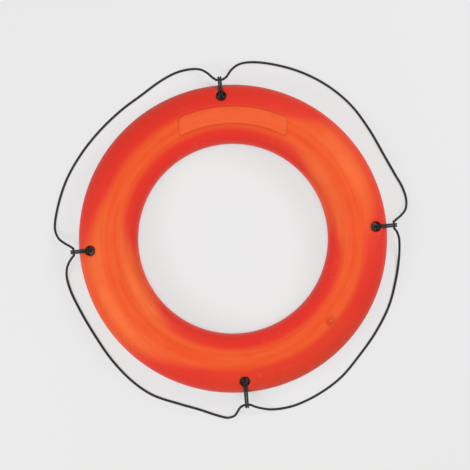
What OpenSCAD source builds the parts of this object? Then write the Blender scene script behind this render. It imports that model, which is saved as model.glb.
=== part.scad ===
// Ring lifebuoy: a foam-filled moulded ring with a grab line held in four cord beckets.
// Millimetres. The ring lies on its back face at z = 0, with the middle of its throat on the Z axis,
// and its four beckets stand on the X and Y axes.

/* [Ring] */
// Outside diameter of the ring
ring_od = 762; // [700:1:800]
// Width of the ring's section, from rim to throat
section_w = 146; // [136:1:156]
// Thickness of the ring, from face to face
section_t = 102; // [96:1:110]
// Radius that rounds the rim and the throat, as a share of the thickness
side_round = 0.39; // [0.36:0.01:0.41]
// Width of the flat land round the crown of each face
crown_land = 11; // [6:1:16]
// Height of the flat land that the mould's parting leaves round rim and throat
parting_land = 12; // [8:1:16]
// Wall of the moulded shell
shell_wall = 3; // [2:0.5:4]
// Gap between the shell and the foam that fills it
core_gap = 0.3; // [0.2:0.1:0.6]

/* [Cord passages] */
// Distance from the rim to the middle of a passage
passage_inset = 29; // [27:1:32]
// Bore of a passage
passage_d = 20; // [18:1:22]
// Radius of the rounded lip at each mouth
lip_r = 6; // [5:0.5:7]
// Lean of the flared mouths, with the slope of the shoulder
mouth_tilt = 34; // [28:1:38]

/* [Beckets] */
// Diameter of the becket cord
becket_d = 5; // [4:0.5:5.5]
// Clearance round a cord where it lies on its neighbour
cord_gap = 0.3; // [0.2:0.1:0.5]
// How far the middle of each eye stands off the rim: top, right, bottom, left
eye_reach = [15, 20, 34, 16]; // [14:1:40]
// Height of the middle of each eye above the back face: top, right, bottom, left
eye_height = [40, 40, 32, 40]; // [30:1:48]
// Width of the overhand knot that joins a becket's two ends
knot_d = 17; // [16:0.5:18]
// Diameter to which the cord is drawn in the knot
knot_cord_d = 3.8; // [3:0.1:3.9]

/* [Grab line] */
// Diameter of the grab line
line_d = 6; // [5:0.5:8]
// Clearance between a becket's turns and a bay of the line as it swings
swing_gap = 0.35; // [0.3:0.05:0.8]

/* [Plugs] */
// Angle of both plugs, clockwise from the top becket
plug_angle = 135; // [110:1:160]
// How far both plugs are set outwards of the middle of the crown
plug_out = 5; // [0:1:8]
// Bore of the filling hole in the front face
fill_bore = 21; // [16:1:24]
// Width of the filling plug's flange
fill_flange = 25.5; // [25:0.5:30]
// Bore of the vent hole in the back face
vent_bore = 10; // [6:1:14]
// Width of the vent plug's flange
vent_flange = 15; // [15:0.5:20]
// Thickness of a plug's flange
flange_t = 1.6; // [1.2:0.1:2]
// How far the filling plug's flange stands above the crown
fill_proud = 0.6; // [0:0.1:1]
// How far the vent plug's flange lies below the back face
vent_sunk = 0.2; // [0.1:0.1:0.4]
// Length of a plug's stem below its flange
stem_l = 9; // [6:1:14]
// Wall of a plug's hollow stem
stem_wall = 2; // [1:0.5:2.5]
// Width of the rim round the dished top of a plug
rim_w = 3; // [2:0.5:4]
// Depth of that dish
dish_depth = 0.6; // [0.3:0.1:0.8]
// Clearance round a plug in its seat and in its bore
plug_gap = 0.2; // [0.1:0.05:0.4]

/* [Hidden] */
$fn = 96;

// Section of the ring, drawn round its own middle: x runs from throat to rim, y along the ring's axis
half_w = section_w / 2;
half_t = section_t / 2;
side_r = side_round * section_t;
mid_r = ring_od / 2 - half_w;
// The rounded sides stand this far proud of the crown where they meet it, so that the arcs cross
arc_cross = 0.03;
side_x = half_w - sqrt(pow(side_r, 2) - pow(parting_land / 2, 2));
// Radius of a crown arc that reaches height h over the middle and meets the rounded sides
function crown_radius(h) =
    let (r = side_r - arc_cross)
    (pow(side_x, 2) + pow(h, 2) - pow(r, 2)) / (2 * (h - r));
crown_top = half_t + pow(crown_land, 2) / (8 * crown_radius(half_t));
crown_r = crown_radius(crown_top);
crown_y = crown_top - crown_r;
// Place of the joint between crown and side in a section that is inset
function join_x(inset) = side_x * (1 + (side_r - inset) / (crown_r - side_r));

// Passages: the lip is an arc that leaves the bore upright and runs out on the rounded rim
passage_x = half_w - passage_inset;
passage_r = passage_d / 2;
// The lip stands this far proud of the bore and of the rim's curve, so that their faces cross
lip_cross = 0.3;
lip_x = passage_x + passage_r + lip_r - lip_cross;
lip_y = sqrt(pow(side_r - lip_r + lip_cross, 2) - pow(lip_x - side_x, 2));
mouth_r = passage_r + lip_r;
mouth_x = lip_x - mouth_r * cos(mouth_tilt);
mouth_y = lip_y + mouth_r * sin(mouth_tilt);
// Run and rise of the soft slope outside the lip
flare_run = 12;
flare_rise = 4;

// Beckets: a belt of cord in the plane of the ring's section, over both lips and round the line
becket_r = becket_d / 2;
line_r = line_d / 2;
turn_offset = becket_r + cord_gap / 2;
lip_path_r = lip_r + cord_gap + becket_r;
eye_path_r = line_r + cord_gap + becket_r;
lip_top = [lip_x, lip_y];
lip_back = [lip_x, -lip_y];
function eye_at(k) = [half_w + eye_reach[k], eye_height[k] - half_t];
// Knot: it stands on edge in the front mouth, with its flat side on the turns that leave over the lip
knot_cord_r = knot_cord_d / 2;
// Swing in and out and rise and fall of a drawn overhand knot, as shares of its turns' radius
knot_swing = 0.45;
knot_rise = 0.6;
knot_turn = (knot_d / 2 - knot_cord_r) / (1 + knot_swing);
knot_half = knot_rise * knot_turn + knot_cord_r;
// How far the knot beds down between the two turns
knot_nest = 0.5;
knot_in = lip_path_r + becket_r + cord_gap + knot_half - knot_nest;
knot_x = lip_x - knot_in * cos(mouth_tilt);
knot_y = lip_y + knot_in * sin(mouth_tilt);
knot_steps = 48;
cord_sides = 10;
bend_steps = 8;
// Angle up a cord's domed end at which it is cut off flat
dome_angle = 53;

// Grab line: each bay hangs on the straight line through its two swing points, just beside the beckets
swing_offset = 2 * turn_offset + line_r + swing_gap - cord_gap / 2;
bight_half = swing_offset - line_r - cord_gap;
// Height of the line's middle where it lies on the ground, with a hair of clearance under it
floor_gap = 0.2;
floor_z = line_r + floor_gap;
// Points of each bay between its swing points: angle clockwise from the top becket, distance from
// the rim, height
bay_route = [
    [
        [2.4, 21, 37], [4.2, 39, 26], [6.6, 54, 13], [10, 62, 5], [16, 66, floor_z],
        [26, 69, floor_z], [36, 69, floor_z], [46, 65, floor_z], [56, 56, floor_z], [66, 51, floor_z],
        [73, 55, floor_z], [78, 62, floor_z], [82, 63, 6], [85, 56, 15], [86.8, 42, 27],
        [88, 28, 36]
    ],
    [
        [92, 25, 37], [94.5, 32, 28], [98, 35, 15], [102, 37, 6], [108, 39, floor_z],
        [118, 44, floor_z], [128, 46, floor_z], [138, 50, floor_z], [147, 59, floor_z], [156, 63, floor_z],
        [164, 64, floor_z], [169, 61, floor_z], [172.5, 56, 6], [175, 49, 14], [177, 42, 24],
        [178.2, 37, 29]
    ],
    [
        [182.3, 39, 30], [183.3, 50, 23], [184.3, 61, 13], [186.5, 67, 6], [190, 63, floor_z],
        [196, 55, floor_z], [203, 54, floor_z], [212, 59, floor_z], [220, 56, floor_z], [230, 48, floor_z],
        [241, 41, floor_z], [250, 42, floor_z], [257, 46, floor_z], [261.5, 46, 6], [264.6, 40, 16],
        [266.6, 31, 28], [268, 22, 36]
    ],
    [
        [272, 23, 37], [273.2, 38, 27], [275, 55, 15], [278, 65, 6], [284, 65, floor_z],
        [294, 61, floor_z], [304, 54, floor_z], [314, 48, floor_z], [324, 45, floor_z], [332, 45, floor_z],
        [340, 53, floor_z], [346, 58, floor_z], [350.5, 56, 6], [353.8, 49, 15], [356, 36, 27],
        [357.6, 22, 36]
    ]
];

// Unit vector at angle a in a plane
function turn(a) = [cos(a), sin(a)];
function unit(v) = v / norm(v);

// Points on an arc about c with radius r, from angle a to angle b
function arc(c, r, a, b, steps) = [for (i = [0 : steps]) c + r * turn(a + (b - a) * i / steps)];

// Angle at which a straight run leaves circle c of radius r for circle e of radius s, on their upper side
function leave(c, r, e, s) = atan2(e[1] - c[1], e[0] - c[0]) + acos((r - s) / norm(e - c));

// Centre line of one becket turn: over the front lip, round the eye, and back under the rear lip
function becket_path(k) =
    let (
        eye = eye_at(k),
        front = leave(lip_top, lip_path_r, eye, eye_path_r),
        rear = leave(lip_top, lip_path_r, [eye[0], -eye[1]], eye_path_r)
    )
    concat(
        arc(lip_top, lip_path_r, 180, front, bend_steps),
        arc(eye, eye_path_r, front, -rear, bend_steps),
        arc(lip_back, lip_path_r, -rear, -180, bend_steps)
    );

// Point of an overhand knot's line, drawn flat round its own middle
function knot_point(a) =
    let (r = knot_turn * (1 + knot_swing * cos(3 * a)))
    [r * cos(2 * a), r * sin(2 * a), knot_turn * knot_rise * sin(3 * a)];

// Point of the ring frame at an angle clockwise from the top becket
function polar(a, r, z) = [r * sin(a), r * cos(a), z];

// Swing point beside becket k: side is 1 on its clockwise side and -1 on the other
function swing_point(k, side) =
    polar(90 * k, ring_od / 2 + eye_reach[k], eye_height[k])
    + side * swing_offset * polar(90 * k + 90, 1, 0);

// Whole centre line of bay k, from becket k clockwise to the next
function bay_path(k) = concat(
    [swing_point(k, 1)],
    [for (p = bay_route[k]) polar(p[0], ring_od / 2 + p[1], p[2])],
    [swing_point((k + 1) % 4, -1)]
);

// Ring of points round p, across the direction t
function hoop(p, t, up, r) =
    let (b = unit(cross(t, up)), n = cross(b, t), step = 360 / cord_sides)
    [for (i = [0 : cord_sides - 1]) p + r * (cos(i * step) * b + sin(i * step) * n)];

// Side faces between hoop i and hoop j
function skin(i, j) = [
    for (s = [0 : cord_sides - 1])
        let (n = (s + 1) % cord_sides)
        [i * cord_sides + s, i * cord_sides + n, j * cord_sides + n, j * cord_sides + s]
];

// Endless cord along a closed line of points in a plane across up
module closed_cord(points, r, up) {
    count = len(points);
    hoops = [
        for (i = [0 : count - 1])
            hoop(points[i], unit(points[(i + 1) % count] - points[(i + count - 1) % count]), up, r)
    ];
    polyhedron(
        points = [for (h = hoops) each h],
        faces = [for (i = [0 : count - 1]) each skin(i, (i + 1) % count)],
        convexity = 6
    );
}

// Cord along an open line of points, with a domed end on its first and last point
module open_cord(points, r, up) {
    last = len(points) - 1;
    dome_out = r * sin(dome_angle);
    dome_r = r * cos(dome_angle);
    first_t = unit(points[1] - points[0]);
    last_t = unit(points[last] - points[last - 1]);
    hoops = concat(
        [hoop(points[0] - dome_out * first_t, first_t, up, dome_r)],
        [
            for (i = [0 : last])
                hoop(points[i], unit(points[min(i + 1, last)] - points[max(i - 1, 0)]), up, r)
        ],
        [hoop(points[last] + dome_out * last_t, last_t, up, dome_r)]
    );
    count = len(hoops);
    polyhedron(
        points = [for (h = hoops) each h],
        faces = concat(
            [[for (s = [cord_sides - 1 : -1 : 0]) s]],
            [for (i = [0 : count - 2]) each skin(i, i + 1)],
            [[for (s = [0 : cord_sides - 1]) (count - 1) * cord_sides + s]]
        ),
        convexity = 6
    );
}

// Section of the ring with every face moved inwards by inset
module section(inset) {
    intersection() {
        square([section_w - 2 * inset, section_t - 2 * inset], center = true);
        union() {
            for (side = [-1, 1]) translate([side * side_x, 0]) circle(side_r - inset);
            intersection() {
                square([2 * join_x(inset), section_t], center = true);
                translate([0, crown_y]) circle(crown_r - inset);
                translate([0, -crown_y]) circle(crown_r - inset);
            }
        }
    }
}

module ring_body(inset) {
    translate([0, 0, half_t]) rotate_extrude() translate([mid_r, 0]) section(inset);
}

// Flared mouth of a passage, drawn on the lean of the shoulder, with its faces moved outwards by inset
module mouth(inset) {
    round_r = lip_r - inset;
    translate([mouth_x, 0, mouth_y])
        rotate([0, mouth_tilt, 0])
        rotate_extrude()
        difference() {
            polygon([
                [0, -lip_r * sin(mouth_tilt)],
                [mouth_r, -lip_r * sin(mouth_tilt)],
                [mouth_r, round_r],
                [mouth_r + flare_run, round_r + flare_rise],
                [mouth_r + flare_run, half_t],
                [0, half_t]
            ]);
            translate([mouth_r, 0]) circle(round_r);
        }
}

// The four passages through the ring, flared at both faces
module passages(inset) {
    for (k = [0 : 3])
        rotate(90 * k)
        translate([mid_r, 0, half_t]) {
            translate([passage_x, 0, 0])
                cylinder(h = 2 * section_t, r = passage_r + inset, center = true);
            mouth(inset);
            mirror([0, 0, 1]) mouth(inset);
        }
}

// Puts a piece drawn in the ring's section at becket k
module at_becket(k) {
    rotate(90 - 90 * k) translate([mid_r, 0, half_t]) rotate([90, 0, 0]) children();
}

// Puts a piece at the plugs' place, at height z
module at_plug(z) {
    translate(polar(plug_angle, mid_r + plug_out, z)) children();
}

fill_seat = section_t + fill_proud - flange_t;
vent_seat = vent_sunk + flange_t;
// Radius of a flange's domed top, as a multiple of its width
dome_share = 3;
// Width of the boss in the middle of a plug's dish, as a share of the dish
boss_share = 0.4;

// Hollow push-in plug with its flange's seat at z = 0 and its stem below
module plug(flange_d, bore) {
    stem_r = bore / 2 - plug_gap;
    dome_r = dome_share * flange_d;
    dish_d = flange_d - 2 * plug_gap - 2 * rim_w;
    translate([0, 0, plug_gap / 2])
        difference() {
            union() {
                intersection() {
                    cylinder(h = flange_t, d = flange_d - 2 * plug_gap);
                    translate([0, 0, flange_t - plug_gap / 2 - dome_r]) sphere(dome_r);
                }
                translate([0, 0, -stem_l]) cylinder(h = stem_l + flange_t / 2, r = stem_r);
            }
            translate([0, 0, -2 * stem_l]) cylinder(h = 2 * stem_l, r = stem_r - stem_wall);
            translate([0, 0, flange_t - dish_depth])
                difference() {
                    cylinder(h = flange_t, d = dish_d);
                    cylinder(h = 3 * flange_t, d = boss_share * dish_d, center = true);
                }
        }
}

// Moulded skin of the ring, with its passages, and with the seats and bores of the plugs
module shell() {
    color("orangered")
        difference() {
            ring_body(0);
            passages(0);
            at_plug(fill_seat) cylinder(h = half_t, d = fill_flange);
            at_plug(fill_seat) cylinder(h = half_t, d = fill_bore, center = true);
            at_plug(vent_seat - half_t) cylinder(h = half_t, d = vent_flange);
            at_plug(vent_seat) cylinder(h = half_t, d = vent_bore, center = true);
            difference() {
                ring_body(shell_wall);
                passages(shell_wall);
            }
        }
}

// Foam that fills the shell, with wells for the stems of the plugs
module foam_core() {
    color("wheat")
        difference() {
            ring_body(shell_wall + core_gap);
            passages(shell_wall + core_gap);
            at_plug(fill_seat - stem_l - core_gap) cylinder(h = half_t, d = fill_bore);
            at_plug(vent_seat + stem_l + core_gap - half_t) cylinder(h = half_t, d = vent_bore);
        }
}

// Plug in the hole that the foam was poured through
module fill_plug() {
    color("orangered") at_plug(fill_seat) plug(fill_flange, fill_bore);
}

// Plug in the hole that let the air out as the foam rose
module vent_plug() {
    color("orangered") at_plug(vent_seat) mirror([0, 0, 1]) plug(vent_flange, vent_bore);
}

// Two turns of cord through passage k and round the rim, with the eye that holds the grab line
module becket(k) {
    color("black")
        at_becket(k)
        for (side = [-1, 1])
            closed_cord([for (p = becket_path(k)) [p[0], p[1], side * turn_offset]], becket_r, [0, 0, 1]);
}

// Overhand knot of the becket's two ends, drawn down into the front mouth of passage k
module becket_knot(k) {
    color("black")
        at_becket(k)
        translate([knot_x, knot_y, 0])
        rotate([0, 90, -mouth_tilt])
        closed_cord(
            [for (i = [0 : knot_steps - 1]) knot_point(360 * i / knot_steps)],
            knot_cord_r,
            [0, 0, 1]
        );
}

// Stretch of the grab line that the eye of becket k holds
module line_bight(k) {
    color("black")
        at_becket(k)
        translate([eye_at(k)[0], eye_at(k)[1], 0])
        cylinder(h = 2 * bight_half, r = line_r, center = true);
}

// Free bay of the grab line from becket k clockwise to the next
module grab_line(k) {
    color("black") open_cord(bay_path(k), line_r, [0, 0, 1]);
}

shell();
foam_core();
fill_plug();
vent_plug();
becket(0);  // becket_top
becket(1);  // becket_right
becket(2);  // becket_bottom
becket(3);  // becket_left
becket_knot(0);  // becket_knot_top
becket_knot(1);  // becket_knot_right
becket_knot(2);  // becket_knot_bottom
becket_knot(3);  // becket_knot_left
line_bight(0);  // line_bight_top
line_bight(1);  // line_bight_right
line_bight(2);  // line_bight_bottom
line_bight(3);  // line_bight_left
grab_line(0);  // grab_line_top_right
grab_line(1);  // grab_line_bottom_right
grab_line(2);  // grab_line_bottom_left
grab_line(3);  // grab_line_top_left
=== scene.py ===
"""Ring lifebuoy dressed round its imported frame: moulded shell, foam, plugs, beckets, knots and grab line."""
import math

import bmesh
import bpy
import numpy as np
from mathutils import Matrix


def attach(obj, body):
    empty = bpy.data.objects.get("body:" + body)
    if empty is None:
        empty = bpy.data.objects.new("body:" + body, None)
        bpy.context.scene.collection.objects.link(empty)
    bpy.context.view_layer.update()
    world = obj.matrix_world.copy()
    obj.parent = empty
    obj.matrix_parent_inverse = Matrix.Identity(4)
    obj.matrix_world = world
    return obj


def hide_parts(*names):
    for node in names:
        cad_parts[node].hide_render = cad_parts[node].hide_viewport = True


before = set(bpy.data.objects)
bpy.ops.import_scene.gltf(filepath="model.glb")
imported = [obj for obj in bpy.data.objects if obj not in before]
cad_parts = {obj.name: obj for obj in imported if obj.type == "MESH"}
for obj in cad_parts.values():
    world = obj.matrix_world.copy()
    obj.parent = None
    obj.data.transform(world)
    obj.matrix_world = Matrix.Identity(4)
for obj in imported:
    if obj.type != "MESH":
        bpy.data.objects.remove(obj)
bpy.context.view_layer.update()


# The shell is one hollow rotational moulding in orange polyethylene, with a fine bead left at the mould's
# parting round rim and throat. Four flared passages for the beckets are moulded through it near the rim,
# and a low blank panel stands on the front face under the top becket.
MM = 0.001
RING_R = 381.0
SECTION_W, SECTION_T = 146.0, 102.0
SIDE_SHARE = 0.39
CROWN_LAND, PARTING_LAND = 11.0, 12.0
HALF_W, HALF_T = SECTION_W / 2, SECTION_T / 2
MID_R = RING_R - HALF_W
SIDE_R = SIDE_SHARE * SECTION_T
SIDE_X = HALF_W - math.sqrt(SIDE_R**2 - (PARTING_LAND / 2) ** 2)


def crown_radius(height):
    """Radius of a crown arc that reaches this height over the middle and runs into the rounded sides."""
    return (SIDE_X**2 + height**2 - SIDE_R**2) / (2 * (height - SIDE_R))


CROWN_TOP = HALF_T + CROWN_LAND**2 / (8 * crown_radius(HALF_T))
CROWN_R = crown_radius(CROWN_TOP)
CROWN_Y = CROWN_TOP - CROWN_R
JOIN_X = SIDE_X * CROWN_R / (CROWN_R - SIDE_R)


def face_height(x):
    """Height of the front face above the section's middle, at x outwards of the section's middle."""
    x = np.abs(np.asarray(x, float))
    crown = CROWN_Y + np.sqrt(np.maximum(CROWN_R**2 - x**2, 0))
    side = np.sqrt(np.maximum(SIDE_R**2 - (x - SIDE_X) ** 2, 0))
    return np.where(x < JOIN_X, np.minimum(crown, HALF_T), side)


def spaced(a, b, step):
    """Evenly spaced values from a to b, both included, about a step apart."""
    return np.linspace(a, b, max(2, int(round(abs(b - a) / step)) + 1))


# Rows of points round the section, closer together where the panel stands and at the parting beads
PANEL_IN, PANEL_OUT = -25.0, 16.0
PANEL_FROM, PANEL_TO = -20.5, 30.0
PANEL_CORNER, PANEL_EDGE, PANEL_H = 9.0, 1.8, 1.6
COARSE, FINE, FINE_MARGIN = 6.0, 0.9, 4.0
SIDE_ROWS = 6
BEAD_H, BEAD_HALF = 0.45, 0.9
side_from, side_to = math.asin(PARTING_LAND / 2 / SIDE_R), math.acos((JOIN_X - SIDE_X) / SIDE_R)
side_turn = np.linspace(side_from, side_to, SIDE_ROWS)
shoulder = np.c_[SIDE_X + SIDE_R * np.cos(side_turn), SIDE_R * np.sin(side_turn)]
fine_from, fine_to = PANEL_OUT + FINE_MARGIN, PANEL_IN - FINE_MARGIN
outer_x = spaced(JOIN_X, fine_from, COARSE)[1:]
inner_x = spaced(fine_to, -JOIN_X, COARSE)[1:-1]


def face_rows(step):
    """Points of one face from its outer shoulder to its inner one, a step apart where a panel may stand."""
    x = np.r_[outer_x, spaced(fine_from, fine_to, step)[1:], inner_x]
    return np.r_[shoulder, np.c_[x, face_height(x)], (shoulder * (-1, 1))[::-1]]


bead_up = BEAD_HALF * np.array([0.5, 1, 1.6, 3.2])
bead_y = np.r_[bead_up[::-1], 0, -bead_up]
bead = np.c_[HALF_W + BEAD_H * np.maximum(1 - (bead_y / BEAD_HALF) ** 2, 0), bead_y]
front_rows, back_rows = face_rows(FINE), face_rows(COARSE)
rows = np.r_[front_rows, bead * (-1, 1), (back_rows * (1, -1))[::-1], bead[::-1]]
n_front = len(front_rows)


def wrapped(angle):
    """The same angle between -180 and 180 degrees."""
    return (angle + 180) % 360 - 180


# Columns round the ring, clockwise from the top becket, closer together along the panel
CELLS, PANEL_SPLIT = 256, 8
CELL = 360 / CELLS
columns = []
for i in range(CELLS):
    along_panel = PANEL_FROM - 3 * CELL < wrapped(i * CELL) < PANEL_TO + 2 * CELL
    parts = PANEL_SPLIT if along_panel else 1
    columns += [i * CELL + CELL * k / parts for k in range(parts)]
columns = np.array(columns)
n_rows, n_columns = len(rows), len(columns)


def at_ring(radius, angle, height):
    """Points in metres from millimetres of radius and height, and degrees clockwise from the top becket."""
    angle = np.radians(angle)
    return np.stack(np.broadcast_arrays(radius * np.sin(angle), radius * np.cos(angle), height), -1) * MM


def smooth(edge0, edge1, x):
    """Smooth step from 0 at edge0 to 1 at edge1."""
    t = np.clip((x - edge0) / (edge1 - edge0), 0, 1)
    return t * t * (3 - 2 * t)


def off_panel(x, angle):
    """Distance outside the edge of the panel, which is a bar bent round the ring with round corners."""
    along = np.radians(wrapped(angle - (PANEL_FROM + PANEL_TO) / 2)) * (MID_R + x)
    half_l = math.radians(PANEL_TO - PANEL_FROM) / 2 * MID_R
    across = x - (PANEL_IN + PANEL_OUT) / 2
    half_w = (PANEL_OUT - PANEL_IN) / 2
    u = np.abs(along) - half_l + PANEL_CORNER
    v = np.abs(across) - half_w + PANEL_CORNER
    return np.hypot(np.maximum(u, 0), np.maximum(v, 0)) + np.minimum(np.maximum(u, v), 0) - PANEL_CORNER


def panel_rise(x, angle):
    """Share of the panel's height at a place on the front face."""
    return smooth(PANEL_EDGE / 2, -PANEL_EDGE / 2, off_panel(x, angle))


# A band of painted shade lies round the panel's foot, darkest just outside its edge
FOOT_OUT, FOOT_IN = 4.5, 1.0
grid_x = np.repeat(rows[:, :1], n_columns, 1)
grid_y = np.repeat(rows[:, 1:], n_columns, 1)
grid_a = np.repeat(columns[None], n_rows, 0)
on_front = (np.arange(n_rows) < n_front)[:, None]
panel_share = panel_rise(grid_x, grid_a) * on_front
foot_shade_share = smooth(FOOT_OUT, FOOT_IN, off_panel(grid_x, grid_a)) * (1 - panel_share) * on_front
grid_y = grid_y + PANEL_H * panel_share
shell_points = [at_ring(MID_R + grid_x, grid_a, HALF_T + grid_y).reshape(-1, 3)]
shell_faces = []
open_cells = np.zeros((n_rows, n_columns), bool)


def add_points(points):
    """Adds points to the shell and gives their numbers."""
    first = sum(len(already) for already in shell_points)
    shell_points.append(points)
    return np.arange(first, first + len(points))


def join_loops(a, b):
    """Skins the strip between two loops of as many points."""
    for i in range(len(a)):
        k = (i + 1) % len(a)
        shell_faces.append((a[i], a[k], b[k], b[i]))


def least_from(values, limit):
    """Number of the least value that reaches a limit."""
    return np.argmin(np.where(values >= limit, values, np.inf))


def open_grid(face, angle, radius, half):
    """Opens the grid's cells round a hole on one face, half or more to each side of its middle, and gives
    the rows and columns of the grid points round the opening."""
    middle_x = radius - MID_R
    own = np.arange(n_front) if face > 0 else np.arange(n_front + len(bead), n_rows - len(bead))
    outer = own[least_from(rows[own, 0], middle_x + half)]
    inner = own[least_from(-rows[own, 0], half - middle_x)]
    step = 1 if inner > outer else -1
    row_run = np.arange(outer, inner + step, step)
    offset = wrapped(columns - angle)
    wide = math.degrees(half / radius) - 1e-6
    first, last = least_from(-offset, wide), least_from(offset, wide)
    column_run = (first + np.arange((last - first) % n_columns + 1)) % n_columns
    open_cells[np.ix_(np.minimum(row_run[:-1], row_run[1:]), column_run[:-1])] = True
    loop = [(outer, c) for c in column_run] + [(r, last) for r in row_run[1:]]
    loop += [(inner, c) for c in column_run[-2::-1]] + [(r, first) for r in row_run[-2:0:-1]]
    return np.array(loop).T


def window(face, angle, radius, half, rim_of):
    """Opens the grid round a hole on one face, and skins it with rings down to the loop that it gives back.
    rim_of takes the directions of the loop's points about the hole, and gives rings of (reach, height)."""
    loop_rows, loop_columns = open_grid(face, angle, radius, half)
    reach = MID_R + rows[loop_rows, 0]
    lean = np.radians(wrapped(columns[loop_columns] - angle))
    edge = np.c_[reach * np.cos(lean) - radius, reach * np.sin(lean)]
    psi = np.arctan2(edge[:, 1], edge[:, 0])
    around = np.c_[np.cos(psi), np.sin(psi)]
    rings = [(ring_reach[:, None] * around, height) for ring_reach, height in rim_of(psi)]
    skirt = []
    for share in (1 / 3, 2 / 3):
        plan = edge + (rings[0][0] - edge) * share
        x = np.hypot(radius + plan[:, 0], plan[:, 1]) - MID_R
        height = face_height(x)
        if face > 0:
            plan_angle = angle + np.degrees(np.arctan2(plan[:, 1], radius + plan[:, 0]))
            height = height + PANEL_H * panel_rise(x, plan_angle)
        skirt.append((plan, height))
    out = math.radians(angle)
    radial = np.array([math.sin(out), math.cos(out)])
    tangent = np.array([math.cos(out), -math.sin(out)])
    before = loop_rows * n_columns + loop_columns
    for plan, height in skirt + rings:
        flat = (radius + plan[:, :1]) * radial + plan[:, 1:] * tangent
        numbers = add_points(np.c_[flat, HALF_T + face * height] * MM)
        join_loops(before, numbers)
        before = numbers
    return before


def height_about(radius, psi, reach):
    """Height of the face at a reach from a hole's middle in direction psi."""
    return face_height(np.hypot(radius + reach * np.cos(psi), reach * np.sin(psi)) - MID_R)


# The passages: a lip that rolls off each face into a straight bore
PASSAGE_ANGLES = (0, 90, 180, 270)
PASSAGE_AT = RING_R - 29.0
PASSAGE_R = 10.0
PASSAGE_WINDOW = 22.0
FLARE_R, FLARE_LEAN = 19.0, 1.0
LIP_RINGS, BORE_RINGS = 11, 6
SLOPE_STEP = 0.05


def passage_mouth(psi):
    """Rings of a flared mouth: a round lip that leaves the face and turns down into the bore."""
    start = FLARE_R + FLARE_LEAN * np.cos(psi)
    top = height_about(PASSAGE_AT, psi, start)
    beyond = height_about(PASSAGE_AT, psi, start + SLOPE_STEP)
    slope = (beyond - height_about(PASSAGE_AT, psi, start - SLOPE_STEP)) / (2 * SLOPE_STEP)
    run = (start - PASSAGE_R) * np.sqrt(1 + slope**2)
    low = top - slope * (start - PASSAGE_R) - run
    turn = np.arccos(slope / np.sqrt(1 + slope**2))
    lip = run / np.tan(turn / 2)
    angles = [math.pi - turn * share for share in np.linspace(1, 0, LIP_RINGS)]
    return [(PASSAGE_R + lip + lip * np.cos(angle), low + lip * np.sin(angle)) for angle in angles]


for angle in PASSAGE_ANGLES:
    front_loop = window(1, angle, PASSAGE_AT, PASSAGE_WINDOW, passage_mouth)
    back_loop = window(-1, angle, PASSAGE_AT, PASSAGE_WINDOW, passage_mouth)
    placed = np.concatenate(shell_points)
    before = front_loop
    for share in np.linspace(0, 1, BORE_RINGS + 2)[1:-1]:
        wall = add_points(placed[front_loop] + (placed[back_loop] - placed[front_loop]) * share)
        join_loops(before, wall)
        before = wall
    join_loops(before, back_loop)

# The seats of the two plugs, each as node, face, flange radius, bore radius and height of the seat
PLUG_ANGLE, PLUG_AT = 135.0, MID_R + 5.0
FLANGE_T, FILL_PROUD, VENT_SUNK = 1.6, 0.6, 0.2
PLUGS = (
    ("fill_plug", 1, 12.75, 10.5, HALF_T + FILL_PROUD - FLANGE_T),
    ("vent_plug", -1, 7.5, 5.0, HALF_T - VENT_SUNK - FLANGE_T),
)
PLUG_WINDOW = 4.0
SEAT_BRIM, SEAT_EDGE, SEAT_LEAST = 0.6, 0.15, 0.25
BORE_DEPTH = 11.0


def plug_seat(flange_r, bore_r, seat):
    """Gives the rings of a plug's seat: a sharp-edged pocket with a level floor, and the bore below it."""
    def rings(psi):
        one = np.ones_like(psi)
        wall = height_about(PLUG_AT, psi, flange_r)
        return [
            ((flange_r + SEAT_BRIM) * one, height_about(PLUG_AT, psi, flange_r + SEAT_BRIM)),
            ((flange_r + SEAT_EDGE) * one, wall - SEAT_EDGE / 3),
            (flange_r * one, wall - SEAT_EDGE),
            (flange_r * one, np.minimum(wall - SEAT_LEAST, seat)),
            (bore_r * one, np.minimum(height_about(PLUG_AT, psi, bore_r), seat)),
            (bore_r * one, (seat - BORE_DEPTH) * one),
        ]
    return rings


for _, face, flange_r, bore_r, seat in PLUGS:
    rim_of = plug_seat(flange_r, bore_r, seat)
    shell_faces.append(window(face, PLUG_ANGLE, PLUG_AT, flange_r + PLUG_WINDOW, rim_of))


def quads(n_rows, n_columns, closed):
    """Faces of a grid of points whose rows run round, and whose columns do so too if it is closed."""
    numbers = np.arange(n_rows * n_columns).reshape(n_rows, n_columns)
    beside, below = np.roll(numbers, -1, 1), np.roll(numbers, -1, 0)
    faces = np.stack([numbers, beside, np.roll(below, -1, 1), below], -1)
    return faces if closed else faces[:-1]


def new_piece(name, points, faces):
    """A smooth-shaded mesh object in the scene, from points in metres and faces."""
    mesh = bpy.data.meshes.new(name)
    mesh.from_pydata(np.asarray(points).tolist(), [], [tuple(int(i) for i in face) for face in faces])
    mesh.validate()
    mesh.shade_smooth()
    piece = bpy.data.objects.new(name, mesh)
    bpy.context.scene.collection.objects.link(piece)
    return piece


def mark(piece, name, values):
    """Stores a value for each of the first points of a piece, and 0 for those after them."""
    whole = np.zeros(len(piece.data.vertices), np.float32)
    whole[: len(values)] = values
    piece.data.attributes.new(name, "FLOAT", "POINT").data.foreach_set("value", whole)


def clean(piece):
    """Takes out the points that no face uses, and turns every face outwards."""
    work = bmesh.new()
    work.from_mesh(piece.data)
    bmesh.ops.delete(work, geom=[v for v in work.verts if not v.link_faces], context="VERTS")
    bmesh.ops.recalc_face_normals(work, faces=work.faces)
    work.to_mesh(piece.data)
    work.free()


# A ring of painted shade lies round each passage's mouth, darkest at the bore
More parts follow.
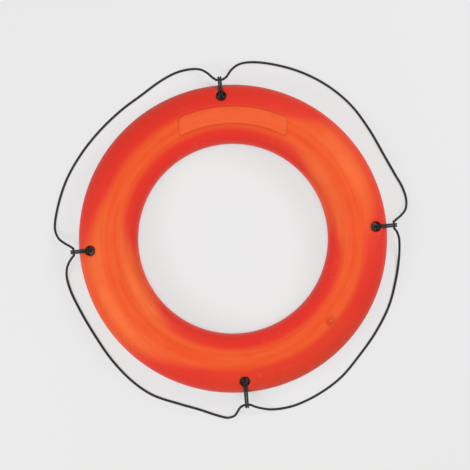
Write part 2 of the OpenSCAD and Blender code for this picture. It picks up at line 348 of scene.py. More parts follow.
MOUTH_SHADE_OUT, MOUTH_SHADE_IN = 17.5, 9.5
shell_faces += list(quads(n_rows, n_columns, True)[~open_cells])
shell_points = np.concatenate(shell_points)
mouths = [at_ring(PASSAGE_AT, angle, 0)[:2] for angle in PASSAGE_ANGLES]
from_mouth = np.min([np.linalg.norm(shell_points[:, :2] - mouth, axis=1) for mouth in mouths], axis=0)
shell = new_piece("ring_shell", shell_points, shell_faces)
mark(shell, "panel", panel_share.reshape(-1))
mark(shell, "foot_shade", foot_shade_share.reshape(-1))
mark(shell, "mouth_shade", smooth(MOUTH_SHADE_OUT, MOUTH_SHADE_IN, from_mouth / MM))
clean(shell)


class Shade:
    """A value, colour or vector in one material's nodes. Sums on it add Math nodes."""

    def __init__(self, tree, socket):
        self.tree = tree
        self.socket = socket

    def node(self, kind, settings=None, sockets=None, out=0):
        """Adds any other node: first its settings, then the values or links of its sockets."""
        made = self.tree.nodes.new("ShaderNode" + kind)
        for name, value in (settings or {}).items():
            setattr(made, name, value)
        for name, value in (sockets or {}).items():
            if isinstance(value, Shade):
                self.tree.links.new(value.socket, made.inputs[name])
            else:
                made.inputs[name].default_value = value
        return Shade(self.tree, made.outputs[out])

    def math(self, operation, *others):
        """A sum with this value first."""
        return self.node("Math", {"operation": operation}, dict(enumerate((self, *others))))

    def __add__(self, other):
        return self.math("ADD", other)

    def __sub__(self, other):
        return self.math("SUBTRACT", other)

    def __rsub__(self, other):
        return self.node("Math", {"operation": "SUBTRACT"}, {0: other, 1: self})

    def __mul__(self, other):
        return self.math("MULTIPLY", other)

    __radd__ = __add__
    __rmul__ = __mul__

    def between(self, low, high):
        """0 at low, 1 at high, eased."""
        return self.node("MapRange", {"interpolation_type": "SMOOTHSTEP"},
                         {"Value": self, "From Min": low, "From Max": high})

    def noise(self, scale, detail=2.0, roughness=0.5):
        """Noise over the place that this vector gives."""
        return self.node("TexNoise", {}, {"Vector": self, "Scale": scale, "Detail": detail,
                                          "Roughness": roughness})

    def stored(self, name):
        """A value that was marked on the points of the piece."""
        return self.node("Attribute", {"attribute_name": name}, out="Fac")

    def mix(self, a, b):
        """Colour a where this value is 0, colour b where it is 1: sockets 6, 7 and 2 are a Mix's colours."""
        return self.node("Mix", {"data_type": "RGBA"}, {0: self, 6: a, 7: b}, out=2)

    def bump(self, distance, strength, under=None):
        """Normal of a surface that stands out by this value times a distance in metres."""
        sockets = {"Height": self, "Distance": distance, "Strength": strength}
        if under is not None:
            sockets["Normal"] = under
        return self.node("Bump", {}, sockets)

    def feed(self, shader, socket):
        """Links this to a socket of the shader."""
        self.tree.links.new(self.socket, shader.inputs[socket])


def new_finish(name, **constants):
    """A material, its shader with the sockets that stay the same all over, and the place on the surface."""
    material = bpy.data.materials.new(name)
    material.use_nodes = True
    tree = material.node_tree
    shader = tree.nodes["Principled BSDF"]
    for socket, value in constants.items():
        shader.inputs[socket.replace("_", " ").title().replace("Ior", "IOR")].default_value = value
    place = Shade(tree, tree.nodes.new("ShaderNodeTexCoord").outputs["Object"])
    return material, shader, place


ORANGE = (0.88, 0.118, 0.032, 1)
ORANGE_DEEP = (0.83, 0.068, 0.016, 1)
# A darker red that is painted on the slopes as painted shade
ORANGE_PAINTED_SHADE = (0.80, 0.030, 0.024, 1)
ORANGE_SCUFF = (0.88, 0.17, 0.075, 1)
ORANGE_RAISED = (0.90, 0.125, 0.040, 1)
# A dark brown painted as shade in creases and recesses, at the panel's foot and in the plugs
PAINTED_SHADE_BROWN = (0.42, 0.034, 0.012, 1)
# A near black painted as shade in the passages' flared mouths
MOUTH_SHADE_DARK = (0.10, 0.012, 0.009, 1)
PLASTIC_GLOSS = {"specular_ior_level": 0.4, "specular_tint": (1.0, 0.76, 0.26, 1)}
moulded, shader, place = new_finish("moulded_orange", **PLASTIC_GLOSS)
x, y, height = (place.node("SeparateXYZ", {}, {0: place}, out=axis) for axis in "XYZ")
reach = (x * x + y * y).math("SQRT")


def facing(bearing):
    """How squarely the ring's side faces a bearing: 1 straight towards it, -1 straight away from it."""
    turn = math.radians(bearing)
    return (x * math.sin(turn) + y * math.cos(turn)).math("DIVIDE", reach)


# Painted light and shade: the crown is painted a lighter orange all round, and so are the slopes beside it
# towards some bearings, most of all those of the two lamps; the other slopes are painted a darker red as
# painted shade
CROWN_LIT_AT, PAINTED_LIGHT_TO, PAINTED_LIGHT_FULL = 0.298, 0.037, 0.014
THROAT_LIT_AT, RIM_LIT_AT, LOWER_LIT_AT = 71, (62, 248), 160
throat_side = facing(THROAT_LIT_AT)
throat_spread = 1 - 0.62 * (throat_side * throat_side).between(0.66, 1.0)
rim_right, rim_left = (facing(bearing) for bearing in RIM_LIT_AT)
rim_lamp_lit = rim_right.between(0.80, 0.975).math("MAXIMUM", rim_left.between(0.58, 1.06) * 1.3)
rim_spread = 1 - 0.62 * rim_lamp_lit
off_crown = reach - CROWN_LIT_AT
off_painted_light = (off_crown * rim_spread).math("MAXIMUM", (CROWN_LIT_AT - reach) * throat_spread)
lower_painted_light = facing(LOWER_LIT_AT).between(0.77, 0.9) * off_crown.between(0.0, 0.03) * 0.2
painted_light = off_painted_light.between(PAINTED_LIGHT_TO, PAINTED_LIGHT_FULL).math("MAXIMUM", lower_painted_light)

# Unevenness: soft clouds in the pigment, and streaks drawn out round the ring
STREAK_BEARING = 64.8
ahead, aside = facing(STREAK_BEARING), facing(STREAK_BEARING + 90)


def drawn_out(across, along, detail):
    """Noise drawn out round the ring: across is a value over the section, along the scale round the ring."""
    spot = place.node("CombineXYZ", {}, {0: across, 1: ahead * along, 2: aside * along})
    return spot.noise(1.0, detail)


clouds = place.noise(5.0, 3.0).between(0.3, 0.7)
flow = place.noise(22.0, 4.0, 0.6).between(0.3, 0.75)
streaks = drawn_out(reach * 75 + height * 50, 1.7, 3.0).between(0.32, 0.68)
uneven = clouds * 0.2 + flow * 0.2 + streaks * 0.6

# Wear: scratches and scuffs where it is handled. Painted shade: a dark brown in the crease at the panel's
# foot, and near black round the passages' mouths
panel, foot_shade, mouth_shade = (place.stored(name) for name in ("panel", "foot_shade", "mouth_shade"))
handled = place.noise(8.0, 3.0).between(0.48, 0.62)
scratches = drawn_out(reach * 1300 - height * 900, 9, 2.0).between(0.64, 0.72) * handled
scuffs = place.noise(75.0, 6.0, 0.72).between(0.56, 0.74) * handled
wear = (scratches * 0.8).math("MAXIMUM", scuffs)
# Painted shade: the flared mouths are darkened to near black, broken up by noise
mouth_shaded = (mouth_shade + 0.5 * place.noise(170.0, 5.0, 0.65) - 0.26).between(0.16, 0.92)
# Painted light and shade: lighter orange on the crown and the slopes that face the lamps, darker red elsewhere
tint = painted_light.mix(ORANGE_PAINTED_SHADE, uneven.mix(ORANGE, ORANGE_DEEP))
tint = (panel * (0.45 + 0.4 * flow)).mix(tint, ORANGE_RAISED)
tint = (wear * 0.42).mix(tint, ORANGE_SCUFF)
# Painted shade in the crease at the panel's foot
tint = (foot_shade * (0.18 + 0.3 * clouds)).mix(tint, PAINTED_SHADE_BROWN)
mouth_shaded.mix(tint, MOUTH_SHADE_DARK).feed(shader, "Base Color")
(0.40 + 0.05 * clouds + 0.05 * flow + 0.12 * wear + 0.08 * panel).feed(shader, "Roughness")

# Skin: the soft waves and fine peel of a rotational moulding, and the stipple of the panel
peel = place.noise(420.0, 2.0)
grain = place.noise(1500.0, 1.0)
pips = place.node("TexVoronoi", {"feature": "F1"}, {"Vector": place, "Scale": 520.0}).between(0.45, 0.1)
waves = flow.bump(0.0006, 0.25)
skin = (peel * 0.7 + grain * 0.3 - scratches * 0.5).bump(0.00025, 0.5, waves)
(pips * panel).bump(0.00035, 0.6, skin).feed(shader, "Normal")
shell.data.materials.append(moulded)
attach(shell, "ring")
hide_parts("shell")


# The foam core is a closed-cell foam that was poured into the shell and fills it. It is never seen, so
# its solid stays as it is, with the pale colour and the cells of such foam.
FOAM_WALL = (0.62, 0.50, 0.27, 1)
FOAM_CELL = (0.80, 0.69, 0.43, 1)
foam, shader, place = new_finish("closed_cell_foam", roughness=0.85)
cells = place.node("TexVoronoi", {"feature": "DISTANCE_TO_EDGE"}, {"Vector": place, "Scale": 900.0})
cells.between(0.0, 0.25).mix(FOAM_WALL, FOAM_CELL).feed(shader, "Base Color")
cells.bump(0.0004, 0.6).feed(shader, "Normal")
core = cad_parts["foam_core"]
core.data.materials.clear()
core.data.materials.append(foam)


# The two plugs are pushed into the holes that the foam was poured and vented through: round polyethylene
# caps with a dished top, a boss in the middle and a hollow stem, snapped in by hand.
TURNED_SIDES = 72
PLUG_GAP, STEM_WALL, BRIM_W, BOSS_SHARE = 0.2, 2.0, 3.0, 0.4


def turned(name, profile, centre, face):
    """A piece turned from a profile of (reach, height, painted shade) points, upright on one face of the ring.
    """
    angles = np.linspace(0, 2 * math.pi, TURNED_SIDES, endpoint=False)
    reach, height, recess_shade = (np.repeat(values, TURNED_SIDES) for values in zip(*profile))
    angle = np.tile(angles, len(profile))
    points = np.c_[reach * np.cos(angle), reach * np.sin(angle), face * height] + centre
    sides = quads(len(profile), TURNED_SIDES, False).reshape(-1, 4)
    ends = [range(TURNED_SIDES), range(len(points) - TURNED_SIDES, len(points))]
    piece = new_piece(name, points * MM, list(sides) + ends)
    clean(piece)
    mark(piece, "recess_shade", recess_shade)
    return piece


def plug_profile(flange_r, bore_r):
    """Outline of a plug from inside its stem to its boss's middle; each third value is a share of painted
    shade.
    """
    stem = bore_r - PLUG_GAP
    bore = stem - STEM_WALL
    brim = flange_r - PLUG_GAP
    dish = brim - BRIM_W
    boss = BOSS_SHARE * dish
    return [
        (bore, 0.0, 0), (bore, -8.6, 0), (bore + 0.3, -8.9, 0), (stem - 0.3, -8.9, 0), (stem, -8.6, 0),
        (stem, 0.1, 0), (brim - 0.25, 0.1, 1), (brim, 0.3, 1), (brim, 1.0, 1), (brim - 0.12, 1.25, 0.8),
        (brim - 0.45, 1.4, 0.3), (brim - 1.4, 1.48, 0), (dish + 0.5, 1.5, 0), (dish + 0.15, 1.42, 0.2),
        (dish, 1.2, 0.8), (dish - 0.1, 1.0, 1), (dish - 0.45, 0.9, 1), (dish - 1.3, 0.9, 0.5),
        (boss + 1.2, 0.9, 0.5), (boss + 0.5, 0.9, 1), (boss + 0.15, 1.0, 1), (boss, 1.25, 0.6),
        (boss - 0.25, 1.5, 0.1), (boss - 0.8, 1.58, 0), (boss * 0.4, 1.6, 0),
    ]


cap, shader, place = new_finish("plug_orange", **PLASTIC_GLOSS)
patches = place.noise(60.0, 3.0).between(0.3, 0.7)
# Painted shade: the seat gap and the corners of the dish are painted dark brown
recess_shade = place.stored("recess_shade")
(recess_shade * (0.68 + 0.3 * patches)).mix(patches.mix(ORANGE, ORANGE_DEEP), PAINTED_SHADE_BROWN).feed(shader, "Base Color")
(0.42 + 0.1 * patches + 0.2 * recess_shade).feed(shader, "Roughness")
place.noise(900.0, 2.0).bump(0.0002, 0.5).feed(shader, "Normal")
out = math.radians(PLUG_ANGLE)
for node, face, flange_r, bore_r, seat in PLUGS:
    centre = (PLUG_AT * math.sin(out), PLUG_AT * math.cos(out), HALF_T + face * seat)
    plug = turned(node + "_cap", plug_profile(flange_r, bore_r), centre, face)
    plug.data.materials.append(cap)
    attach(plug, "ring")
    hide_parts(node)


# Each becket is a lashing of black braided cord: two turns up through a passage, over the front lip, round
# the grab line and back under the rear lip. Between its turns the cord crosses over itself in the passage.
BECKET_D, LINE_D, CORD_GAP = 5.0, 6.0, 0.3
TURN_OFFSET = BECKET_D / 2 + CORD_GAP / 2
LIP_R, LIP_CROSS = 6.0, 0.3
LIP_X = PASSAGE_AT - MID_R + PASSAGE_R + LIP_R - LIP_CROSS
LIP_Y = math.sqrt((SIDE_R - LIP_R + LIP_CROSS) ** 2 - (LIP_X - SIDE_X) ** 2)
LIP_PATH_R = LIP_R + CORD_GAP + BECKET_D / 2
EYE_PATH_R = LINE_D / 2 + CORD_GAP + BECKET_D / 2
NAMES = ("top", "right", "bottom", "left")
EYE_REACH = (15.0, 20.0, 34.0, 16.0)
EYE_HEIGHT = (40.0, 40.0, 32.0, 40.0)
CURVE_POINTS = 14
BECKET_FINENESS, BECKET_STEP = 6, 0.0007


def eye_of(k):
    """Middle of becket k's eye, as (out, up) in the ring's section."""
    return HALF_W + EYE_REACH[k], EYE_HEIGHT[k] - HALF_T


def bend(centre, radius, a, b):
    """Points of an arc about a centre, between two angles in degrees."""
    t = np.radians(np.linspace(a, b, CURVE_POINTS))
    return np.c_[centre[0] + radius * np.cos(t), centre[1] + radius * np.sin(t)]


def leave(c, r, e, s):
    """Angle at which a straight run leaves circle c of radius r for circle e of radius s, above them."""
    gap = math.hypot(e[0] - c[0], e[1] - c[1])
    return math.degrees(math.atan2(e[1] - c[1], e[0] - c[0]) + math.acos((r - s) / gap))


def becket_path(k):
    """Endless line of two turns at becket k, as (out, up, along) in the ring's section."""
    eye = eye_of(k)
    front = leave((LIP_X, LIP_Y), LIP_PATH_R, eye, EYE_PATH_R)
    rear = leave((LIP_X, LIP_Y), LIP_PATH_R, (eye[0], -eye[1]), EYE_PATH_R)
    over = np.r_[
        bend((LIP_X, LIP_Y), LIP_PATH_R, 180, front),
        bend(eye, EYE_PATH_R, front, -rear),
        bend((LIP_X, -LIP_Y), LIP_PATH_R, -rear, -180),
    ]
    climb = np.linspace(0, 1, CURVE_POINTS)[1:-1]
    inner = LIP_X - LIP_PATH_R
    line = []
    for side, depth in ((-1, 0.0), (1, BECKET_D + 2 * CORD_GAP)):
        line.append(np.c_[over, np.full(len(over), side * TURN_OFFSET)])
        inwards = smooth(0, 0.3, climb) * smooth(1, 0.7, climb)
        cross = side * TURN_OFFSET * (1 - 2 * smooth(0.25, 0.75, climb))
        line.append(np.c_[inner - depth * inwards, -LIP_Y + 2 * LIP_Y * climb, cross])
    return np.concatenate(line)


def at_becket(k, points):
    """Puts points of the ring's section, (out, up, along), at becket k, in metres. Along runs clockwise."""
    a = math.radians(PASSAGE_ANGLES[k])
    radial = np.array([math.sin(a), math.cos(a), 0])
    along = np.array([math.cos(a), -math.sin(a), 0])
    p = np.asarray(points, float)
    return ((MID_R + p[:, :1]) * radial + (HALF_T + p[:, 1:2]) * [0, 0, 1] + p[:, 2:] * along) * MM


def flowing(points, closed, fineness=24):
    """A smooth line through points, as a centripetal spline."""
    p = np.asarray(points, float)
    p = np.r_[p[-1:], p, p[:2]] if closed else np.r_[2 * p[:1] - p[1:2], p, 2 * p[-1:] - p[-2:-1]]
    line = []
    for i in range(1, len(p) - 2):
        a, b, c, d = p[i - 1 : i + 3]
        ta = np.linalg.norm(b - a) ** 0.5
        tb = ta + np.linalg.norm(c - b) ** 0.5
        tc = tb + np.linalg.norm(d - c) ** 0.5
        t = np.linspace(ta, tb, fineness, endpoint=False)[:, None]
        ab = a + (b - a) * t / ta
        bc = b + (c - b) * (t - ta) / (tb - ta)
        cd = c + (d - c) * (t - tb) / (tc - tb)
        abc = ab + (bc - ab) * t / tb
        bcd = bc + (cd - bc) * (t - ta) / (tc - ta)
        line.append(abc + (bcd - abc) * (t - ta) / (tb - ta))
    line = np.concatenate(line)
    return line if closed else np.r_[line, p[-2:-1]]


def even(line, step, closed):
    """The same line with its points an even step apart, and its length."""
    whole = np.r_[line, line[:1]] if closed else line
    run = np.r_[0, np.cumsum(np.linalg.norm(np.diff(whole, axis=0), axis=1))]
    count = max(8, int(round(run[-1] / step)))
    at = np.linspace(0, run[-1], count + 1)
    points = np.c_[[np.interp(at, run, whole[:, i]) for i in range(3)]].T
    return (points[:-1] if closed else points), run[-1]


def carried(points, closed):
    """Directions ahead, across and up at each point of a line, carried along it without a twist, and the
    twist that an endless line then lacks where it meets its start."""
    ahead = np.roll(points, -1, 0) - np.roll(points, 1, 0) if closed else np.gradient(points, axis=0)
    ahead /= np.linalg.norm(ahead, axis=1)[:, None]
    across = np.empty_like(points)
    side = np.cross(ahead[0], (0, 0, 1) if abs(ahead[0][2]) < 0.9 else (1, 0, 0))
    for i, forward in enumerate(ahead):
        side = side - forward * (side @ forward)
        side = side / np.linalg.norm(side)
        across[i] = side
    twist = 0.0
    if closed:
        back = across[-1] - ahead[0] * (across[-1] @ ahead[0])
        twist = math.atan2(np.cross(back, across[0]) @ ahead[0], back @ across[0])
    return ahead, across, np.cross(ahead, across), twist


# A braid's strands: their mean height, how far they dip under each other, and how they shape the cord
STRAND_MEAN, STRAND_DIP = 0.62, 0.38
BRAID_SLANT, BRAID_RELIEF, BRAID_LEVEL = 0.7, 0.2, 0.8
DOME_SLOPES = (25, 45, 62, 76, 87)


def strand_height(own, other, dip):
    """Height of the strands of one slant, which pass over and under those of the other slant."""
    middle = np.round(own)
    return np.cos(math.pi * (own - middle)) ** 2 * (STRAND_MEAN + dip * np.cos(math.pi * (other + middle)))


def braided(name, line, radius, closed=False, carriers=8, step=0.0008):
    """A braided cord along a line in metres: a tube whose surface carries the braid's interlaced strands.
    An open cord ends in round domes on its first and last points. The map lay counts the strands of both
    slants, so that each strand's middle lies on a whole number."""
    points, length = even(line, step, closed)
    count, sides = len(points), 4 * carriers
    ahead, across, up, twist = carried(points, closed)
    pitch = 2 * math.pi * radius / carriers / BRAID_SLANT
    if closed:
        pitch = length / max(2, round(length / pitch / 2) * 2)
    run = np.arange(count) * (length / (count if closed else count - 1))
    turn = np.arange(sides) * 2 * math.pi / sides + twist * (run / length)[:, None]
    strand = np.arange(sides) * carriers / sides
    p, q = strand + (run / pitch)[:, None], strand - (run / pitch)[:, None]
    crown = np.maximum(strand_height(p, q, STRAND_DIP), strand_height(q, p, -STRAND_DIP))
    reach = radius * (1 + BRAID_RELIEF * (crown - BRAID_LEVEL))
    hoop = np.cos(turn)[..., None] * across[:, None] + np.sin(turn)[..., None] * up[:, None]
    stations = list(zip(run, points[:, None] + reach[..., None] * hoop))
    if not closed:
        for end, way in ((0, -1), (-1, 1)):
            for slope in np.radians(DOME_SLOPES):
                rise = way * radius * math.sin(slope)
                dome = points[end] + ahead[end] * rise + hoop[end] * (reach[end] * math.cos(slope))[:, None]
                stations.insert(0 if end == 0 else len(stations), (run[end] + rise, dome))
    body = np.concatenate([points_round for at, points_round in stations])
    faces = list(quads(len(stations), sides, closed).reshape(-1, 4))
    if not closed:
        faces += [range(sides)[::-1], range(len(body) - sides, len(body))]
    piece = new_piece(name, body, faces)
    u = np.array([at for at, points_round in stations] + ([length] if closed else []))[:, None] / pitch
    v = np.arange(sides + 1)[None] * carriers / sides
    slants = np.stack([v + u, v - u], -1)
    corners = np.stack([slants[:-1, :-1], slants[:-1, 1:], slants[1:, 1:], slants[1:, :-1]], 2)
    flat = np.zeros(len(piece.data.loops) * 2)
    flat[: corners.size] = corners.reshape(-1)
    piece.data.uv_layers.new(name="lay").data.foreach_set("uv", flat)
    return piece


def cord_finish(name, dark, pale):
    """Black polyester or nylon braid: interlaced strands with fine fibres along them, and a dull sheen."""
    gloss = {"specular_ior_level": 0.35, "sheen_weight": 0.1, "sheen_roughness": 0.5}
    material, shader, place = new_finish(name, **gloss)
    lay = place.node("UVMap", {"uv_map": "lay"})
    p, q = (lay.node("SeparateXYZ", {}, {0: lay}, out=slant) for slant in "XY")
    crowns, threads = [], []
    for own, other, dip in ((p, q, STRAND_DIP), (q, p, -STRAND_DIP)):
        middle = own.math("ROUND")
        across = ((own - middle) * math.pi).math("COSINE")
        crowns.append(across * across * (STRAND_MEAN + dip * ((other + middle) * math.pi).math("COSINE")))
        threads.append(lay.node("CombineXYZ", {}, {0: own * 20, 1: other * 1.6}).noise(1.0, 2.0))
    over = crowns[0].math("GREATER_THAN", crowns[1])
    fibres = over * threads[0] + (1 - over) * threads[1]
    crown = crowns[0].math("MAXIMUM", crowns[1]).between(0.35, 0.95)
    dust = place.noise(140.0, 4.0, 0.65).between(0.45, 0.8)
    # Painted light and shade: the strands' crowns are painted paler and the dips between them darker; the
    # fibres and dust vary at random
    (crown * fibres.between(0.3, 0.7) * 0.75 + dust * 0.25).mix(dark, pale).feed(shader, "Base Color")
    (0.50 + 0.2 * fibres + 0.08 * dust).feed(shader, "Roughness")
    (crown * 0.7 + fibres * 0.3).bump(0.0005, 0.8).feed(shader, "Normal")
    return material


becket_black = cord_finish("becket_black", (0.0045, 0.0042, 0.0042, 1), (0.034, 0.031, 0.029, 1))
for k, name in enumerate(NAMES):
    line = flowing(at_becket(k, becket_path(k)), True, BECKET_FINENESS)
    becket = braided("becket_cord_" + name, line, BECKET_D / 2 * MM, closed=True, step=BECKET_STEP)
    becket.data.materials.append(becket_black)
    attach(becket, "ring")
    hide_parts("becket_" + name)


# The two ends of each becket are drawn together in an overhand knot, which is worked down into the front
# mouth of the passage until it beds on the turns there. The cord is thinner where the knot is hauled tight.
KNOT_D, KNOT_CORD_D = 17.0, 3.8
KNOT_SWING, KNOT_RISE, KNOT_NEST = 0.45, 0.6, 0.5
KNOT_POINTS = 96
KNOT_CARRIERS, KNOT_STEP = 7, 0.0006
MOUTH_TILT = math.radians(34)
KNOT_TURN = (KNOT_D / 2 - KNOT_CORD_D / 2) / (1 + KNOT_SWING)
KNOT_IN = LIP_PATH_R + BECKET_D / 2 + CORD_GAP + KNOT_RISE * KNOT_TURN + KNOT_CORD_D / 2 - KNOT_NEST


def in_mouth(depth, out, up, along):
    """Points (out, up, along) that lean with the mouth's face, from a depth inwards of the lip's middle."""
    c, s = math.cos(MOUTH_TILT), math.sin(MOUTH_TILT)
    return np.c_[LIP_X - depth * c + out * c + up * s, LIP_Y + depth * s - out * s + up * c, along]


t = np.linspace(0, 2 * math.pi, KNOT_POINTS, endpoint=False)
lobe = KNOT_TURN * (1 + KNOT_SWING * np.cos(3 * t))
weave = KNOT_TURN * KNOT_RISE * np.sin(3 * t)
knot_line = in_mouth(KNOT_IN, weave, lobe * np.sin(2 * t), lobe * np.cos(2 * t))
for k, name in enumerate(NAMES):
    knot = braided("knot_cord_" + name, at_becket(k, knot_line), KNOT_CORD_D / 2 * MM, closed=True,
                   carriers=KNOT_CARRIERS, step=KNOT_STEP)
    knot.data.materials.append(becket_black)
    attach(knot, "ring")
    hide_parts("becket_knot_" + name)


# The two cut ends of the same cord come out of each knot and lie over the inner lip of the mouth. Their
# tips are melted round, so that they don't fray.
MOUTH_R = PASSAGE_R + LIP_R
END_OUT = np.array([-1.5, -5.5, -9.5, -13.0])
END_UP = np.array([0.8, 3.4, 6.6, 9.2])
END_ALONG = {"left": np.array([1.6, 3.0, 4.2, 3.6]), "right": np.array([1.6, 3.0, 4.2, 5.6])}
cord_ends = [[] for name in NAMES]
for side, end_name in ((-1, "left"), (1, "right")):
    end_line = in_mouth(MOUTH_R, END_OUT, END_UP, side * END_ALONG[end_name])
    for k, name in enumerate(NAMES):
        end = braided("cord_end_" + name + "_" + end_name, flowing(at_becket(k, end_line), False),
                      KNOT_CORD_D / 2 * MM, carriers=KNOT_CARRIERS, step=KNOT_STEP)
        end.data.materials.append(becket_black)
        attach(end, "ring")
        cord_ends[k].append(end)


# The grab line is one black braided rope, held in the eye of each becket. These are the short stretches
# inside the eyes, which stay with the ring; their round ends are where the free bays begin to swing.
LINE_GAP = 0.35
SWING_OFFSET = 2 * TURN_OFFSET + LINE_D / 2 + LINE_GAP - CORD_GAP / 2
line_black = cord_finish("line_black", (0.0045, 0.0045, 0.005, 1), (0.031, 0.030, 0.031, 1))
for k, name in enumerate(NAMES):
    ends = at_becket(k, [(*eye_of(k), along) for along in (-SWING_OFFSET, 0, SWING_OFFSET)])
    bight = braided("line_in_eye_" + name, ends, LINE_D / 2 * MM)
    bight.data.materials.append(line_black)
    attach(bight, "ring")
    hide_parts("line_bight_" + name)


# Between the beckets the same rope hangs free in four slack bays. Each drops from its eye to the ground,
# lies there in a loose curve and climbs to the next eye, and can be lifted like the handle of a bucket.
# A route gives degrees clockwise from the top becket, metres outside the rim and metres above the ground.
GROUND = 0.0032
BAY_ROUTES = (
    ("top_right", 0, (
        (2.4, 0.021, 0.037), (4.2, 0.039, 0.026), (6.6, 0.054, 0.013), (10, 0.062, 0.005),
        (16, 0.066, GROUND), (26, 0.069, GROUND), (36, 0.069, GROUND), (46, 0.065, GROUND),
        (56, 0.056, GROUND), (66, 0.051, GROUND), (73, 0.055, GROUND), (78, 0.062, GROUND),
        (82, 0.063, 0.006), (85, 0.056, 0.015), (86.8, 0.042, 0.027), (88, 0.028, 0.036))),
    ("bottom_right", 1, (
        (92, 0.025, 0.037), (94.5, 0.032, 0.028), (98, 0.035, 0.015), (102, 0.037, 0.006),
        (108, 0.039, GROUND), (118, 0.044, GROUND), (128, 0.046, GROUND), (138, 0.050, GROUND),
        (147, 0.059, GROUND), (156, 0.063, GROUND), (164, 0.064, GROUND), (169, 0.061, GROUND),
        (172.5, 0.056, 0.006), (175, 0.049, 0.014), (177, 0.042, 0.024), (178.2, 0.037, 0.029))),
    ("bottom_left", 2, (
        (182.3, 0.039, 0.030), (183.3, 0.050, 0.023), (184.3, 0.061, 0.013), (186.5, 0.067, 0.006),
        (190, 0.063, GROUND), (196, 0.055, GROUND), (203, 0.054, GROUND), (212, 0.059, GROUND),
        (220, 0.056, GROUND), (230, 0.048, GROUND), (241, 0.041, GROUND), (250, 0.042, GROUND),
        (257, 0.046, GROUND), (261.5, 0.046, 0.006), (264.6, 0.040, 0.016), (266.6, 0.031, 0.028),
        (268, 0.022, 0.036))),
    ("top_left", 3, (
        (272, 0.023, 0.037), (273.2, 0.038, 0.027), (275, 0.055, 0.015), (278, 0.065, 0.006),
        (284, 0.065, GROUND), (294, 0.061, GROUND), (304, 0.054, GROUND), (314, 0.048, GROUND),
        (324, 0.045, GROUND), (332, 0.045, GROUND), (340, 0.053, GROUND), (346, 0.058, GROUND),
        (350.5, 0.056, 0.006), (353.8, 0.049, 0.015), (356, 0.036, 0.027), (357.6, 0.022, 0.036))),
)


def swing_point(k, side):
    """Where a bay begins beside becket k: side is 1 on its clockwise side and -1 on the other."""
    return at_becket(k, [(*eye_of(k), side * SWING_OFFSET)])


for name, k, route in BAY_ROUTES:
    middle = [at_ring(RING_R + away / MM, angle, height / MM) for angle, away, height in route]
    line = flowing(np.r_[swing_point(k, 1), middle, swing_point((k + 1) % 4, -1)], False)
    line[:, 2] = np.maximum(line[:, 2], GROUND)
    bay = braided("line_bay_" + name, line, LINE_D / 2 * MM)
    bay.data.materials.append(line_black)
    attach(bay, "bay_" + name)
    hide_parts("grab_line_" + name)


# The ring lies on a plain pale floor under two broad soft lamps, one on either side of the ring, with an even
# pale surround. The floor shows pale to the camera, and close under the ring its colour is painted dark as a
# painted shadow.
PALE = (0.83, 0.83, 0.83, 1)
SHADED = (0.20, 0.20, 0.20, 1)
FLOOR_HALF, FLOOR_DROP = 8.0, 0.0004
SURROUND_LIGHT = 0.30
LAMP_AWAY, LAMP_D, LAMP_POWER = 2.1, 1.7, 49.0
floor_mesh = bpy.data.meshes.new("floor")
corners = FLOOR_HALF * np.array([(-1, -1, 0), (1, -1, 0), (1, 1, 0), (-1, 1, 0)])
floor_mesh.from_pydata(corners.tolist(), [], [(0, 1, 2, 3)])
floor = bpy.data.objects.new("floor", floor_mesh)
floor.location.z = -FLOOR_DROP
bpy.context.scene.collection.objects.link(floor)


def shown(place):
    """1 for the rays that show a surface to the camera, straight or by way of gloss or glass."""
    straight, gloss, glass = (place.node("LightPath", out="Is " + kind + " Ray")
                              for kind in ("Camera", "Glossy", "Transmission"))
    return (straight + gloss + glass).math("MINIMUM", 1.0)


pale, shader, place = new_finish("pale_floor", roughness=0.9, specular_ior_level=0.1)
uncovered = place.node("AmbientOcclusion", {"samples": 16}, {"Distance": 0.12}, out="AO").between(0.24, 0.50)
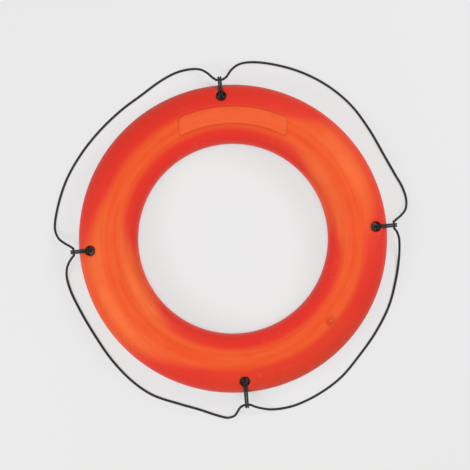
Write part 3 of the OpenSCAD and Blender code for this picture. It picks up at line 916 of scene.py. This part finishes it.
# Painted shadow: the floor's colour turns dark where the ring closely covers it
uncovered.mix(SHADED, PALE).feed(shader, "Base Color")
far = place.node("VectorMath", {"operation": "LENGTH"}, {0: place}, out="Value").between(0.7, 2.2)
glow = place.node("Emission", {}, {"Color": PALE, "Strength": 1.0})
lit = Shade(place.tree, shader.outputs[0])
mixed = place.node("MixShader", {}, {0: shown(place) * uncovered * (0.8 + 0.2 * far), 1: lit, 2: glow})
mixed.feed(place.tree.nodes["Material Output"], "Surface")
floor.data.materials.append(pale)

world = bpy.data.worlds.new("surround")
bpy.context.scene.world = world
world.use_nodes = True
sky = Shade(world.node_tree, world.node_tree.nodes["Background"].outputs[0])
light = sky.node("Background", {}, {"Color": PALE, "Strength": SURROUND_LIGHT})
backdrop = sky.node("Background", {}, {"Color": PALE, "Strength": 1.0})
mixed = sky.node("MixShader", {}, {0: shown(sky), 1: light, 2: backdrop})
mixed.feed(world.node_tree.nodes["World Output"], "Surface")

for name, bearing in (("lamp_north_east", 64.8), ("lamp_south_west", 244.8)):
    lamp = bpy.data.lights.new(name, "AREA")
    lamp.shape = "DISK"
    lamp.size = LAMP_D
    lamp.energy = LAMP_POWER
    holder = bpy.data.objects.new(name, lamp)
    a = math.radians(bearing)
    holder.location = (LAMP_AWAY * math.sin(a), LAMP_AWAY * math.cos(a), LAMP_AWAY)
    holder.rotation_euler = (-holder.location).to_track_quat("-Z", "Y").to_euler()
    bpy.context.scene.collection.objects.link(holder)

bpy.context.scene.view_settings.view_transform = "Standard"


# The camera looks straight down on the ring from well above it, with the top becket a little left of
# upright in the picture. RING_PIXEL is where the ring's middle lies in the picture, and PIXEL is what one
# pixel measures at half the ring's height.
CAMERA_HEIGHT = 4.5
ROLL = math.radians(4.8)
PICTURE = 470
RING_PIXEL = (233.0, 238.7)
PIXEL = 2.4756 * MM
lens = bpy.data.cameras.new("camera")
lens.sensor_width = 36.0
lens.lens = (CAMERA_HEIGHT - HALF_T * MM) / PIXEL / PICTURE * lens.sensor_width
camera = bpy.data.objects.new("camera", lens)
right = (PICTURE / 2 - RING_PIXEL[0]) * PIXEL
upward = (RING_PIXEL[1] - PICTURE / 2) * PIXEL
camera.location = (
    right * math.cos(ROLL) + upward * math.sin(ROLL),
    upward * math.cos(ROLL) - right * math.sin(ROLL),
    CAMERA_HEIGHT,
)
camera.rotation_euler = (0, 0, -ROLL)
bpy.context.scene.collection.objects.link(camera)
bpy.context.scene.camera = camera
